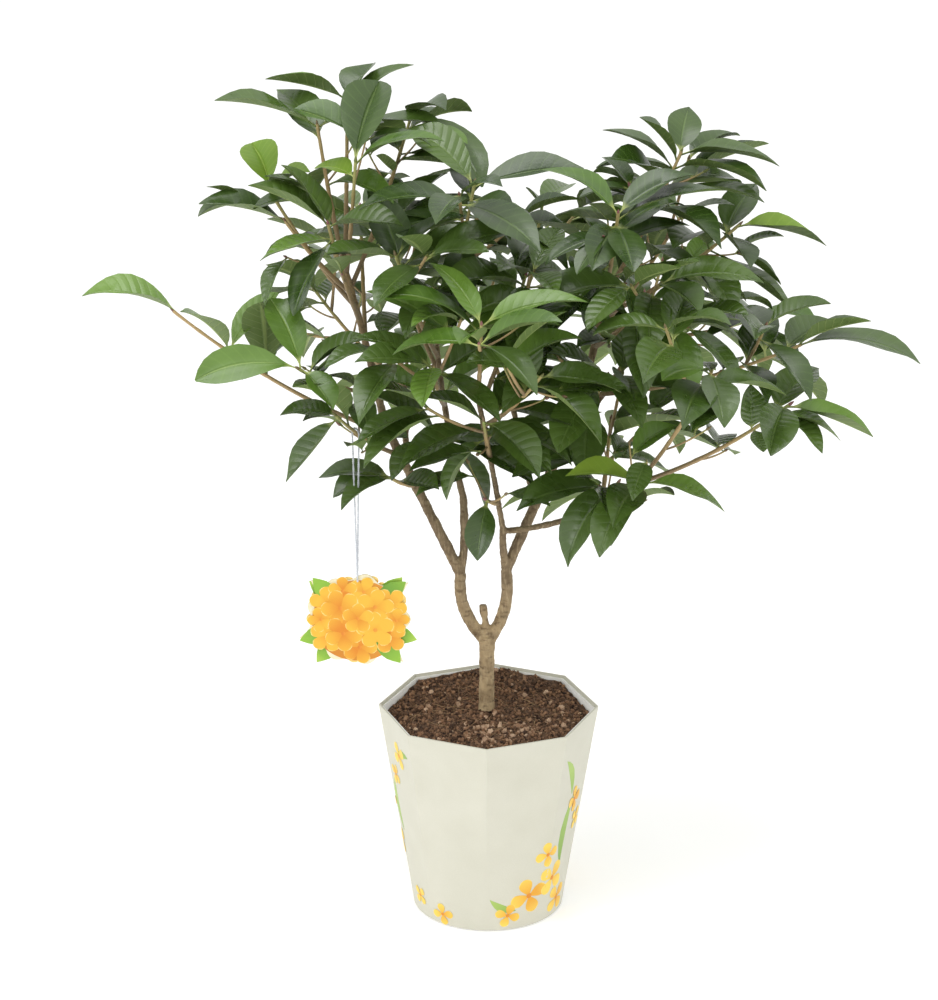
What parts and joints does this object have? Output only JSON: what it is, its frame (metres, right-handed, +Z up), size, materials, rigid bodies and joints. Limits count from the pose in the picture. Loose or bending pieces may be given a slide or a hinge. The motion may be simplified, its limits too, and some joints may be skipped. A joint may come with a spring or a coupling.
{
  "type": "potted sweet osmanthus",
  "caption": "Young evergreen sweet osmanthus shrub, forking low into slim boughs with opposite glossy leaves, in a tapering card pot with a hanging paper tag.",
  "frame": {"origin": "middle of the pot's flat underside, on the ground it stands on", "axes": "+X to the right, +Y to the back and +Z up, with the tagged low left side of the crown to -X"},
  "size_m": [0.665, 0.4451, 0.708],
  "materials": {
    "sleeve_card": "uncoated card with faint print",
    "liner_plastic": "satin moulded plastic",
    "potting_soil": "crumbly, dull",
    "bark": "fine rough bark",
    "tag_card": "printed card",
    "string": "thin cotton cord",
    "leaves": "leathery, half gloss"
  },
  "bodies": {
    "root": {"pot_sleeve": "sleeve_card", "pot_liner": "liner_plastic", "soil": "potting_soil", "trunk": "bark", "centre_bough": "bark", "left_back_bough": "bark", "left_centre_bough": "bark", "left_inner_bough": "bark", "left_low_bough": "bark", "left_outer_bough": "bark", "left_upper_bough": "bark", "middle_back_bough": "bark", "right_back_bough": "bark", "right_low_bough": "bark", "right_main_bough": "bark", "right_upper_bough": "bark", "side_bough": "bark", "thin_bough": "bark", "tag_card": "tag_card", "tag_string": "string", "foliage_crown_left": "leaves", "foliage_crown_left_back": "leaves", "foliage_crown_top": "leaves", "foliage_far_left": "leaves", "foliage_far_right": "leaves", "foliage_front": "leaves", "foliage_front_hanging": "leaves", "foliage_front_low": "leaves", "foliage_front_right": "leaves", "foliage_front_top": "leaves", "foliage_inner_low": "leaves", "foliage_left_low": "leaves", "foliage_left_low_inner": "leaves", "foliage_left_middle": "leaves", "foliage_left_rear": "leaves", "foliage_left_rear_low": "leaves", "foliage_left_top_back": "leaves", "foliage_left_top_front": "leaves", "foliage_left_top_peak": "leaves", "foliage_left_top_rear": "leaves", "foliage_left_top_tall": "leaves", "foliage_left_upper_side": "leaves", "foliage_left_whorl": "leaves", "foliage_left_young": "leaves", "foliage_middle_left_front": "leaves", "foliage_middle_rear": "leaves", "foliage_middle_rear_out": "leaves", "foliage_right_centre": "leaves", "foliage_right_front": "leaves", "foliage_right_low": "leaves", "foliage_right_low_back": "leaves", "foliage_right_low_front": "leaves", "foliage_right_low_inner": "leaves", "foliage_right_middle": "leaves", "foliage_right_rear": "leaves", "foliage_right_rear_out": "leaves", "foliage_right_top": "leaves", "foliage_right_top_front": "leaves", "foliage_right_top_rear": "leaves", "foliage_right_top_side": "leaves"}
  },
  "joints": []
}
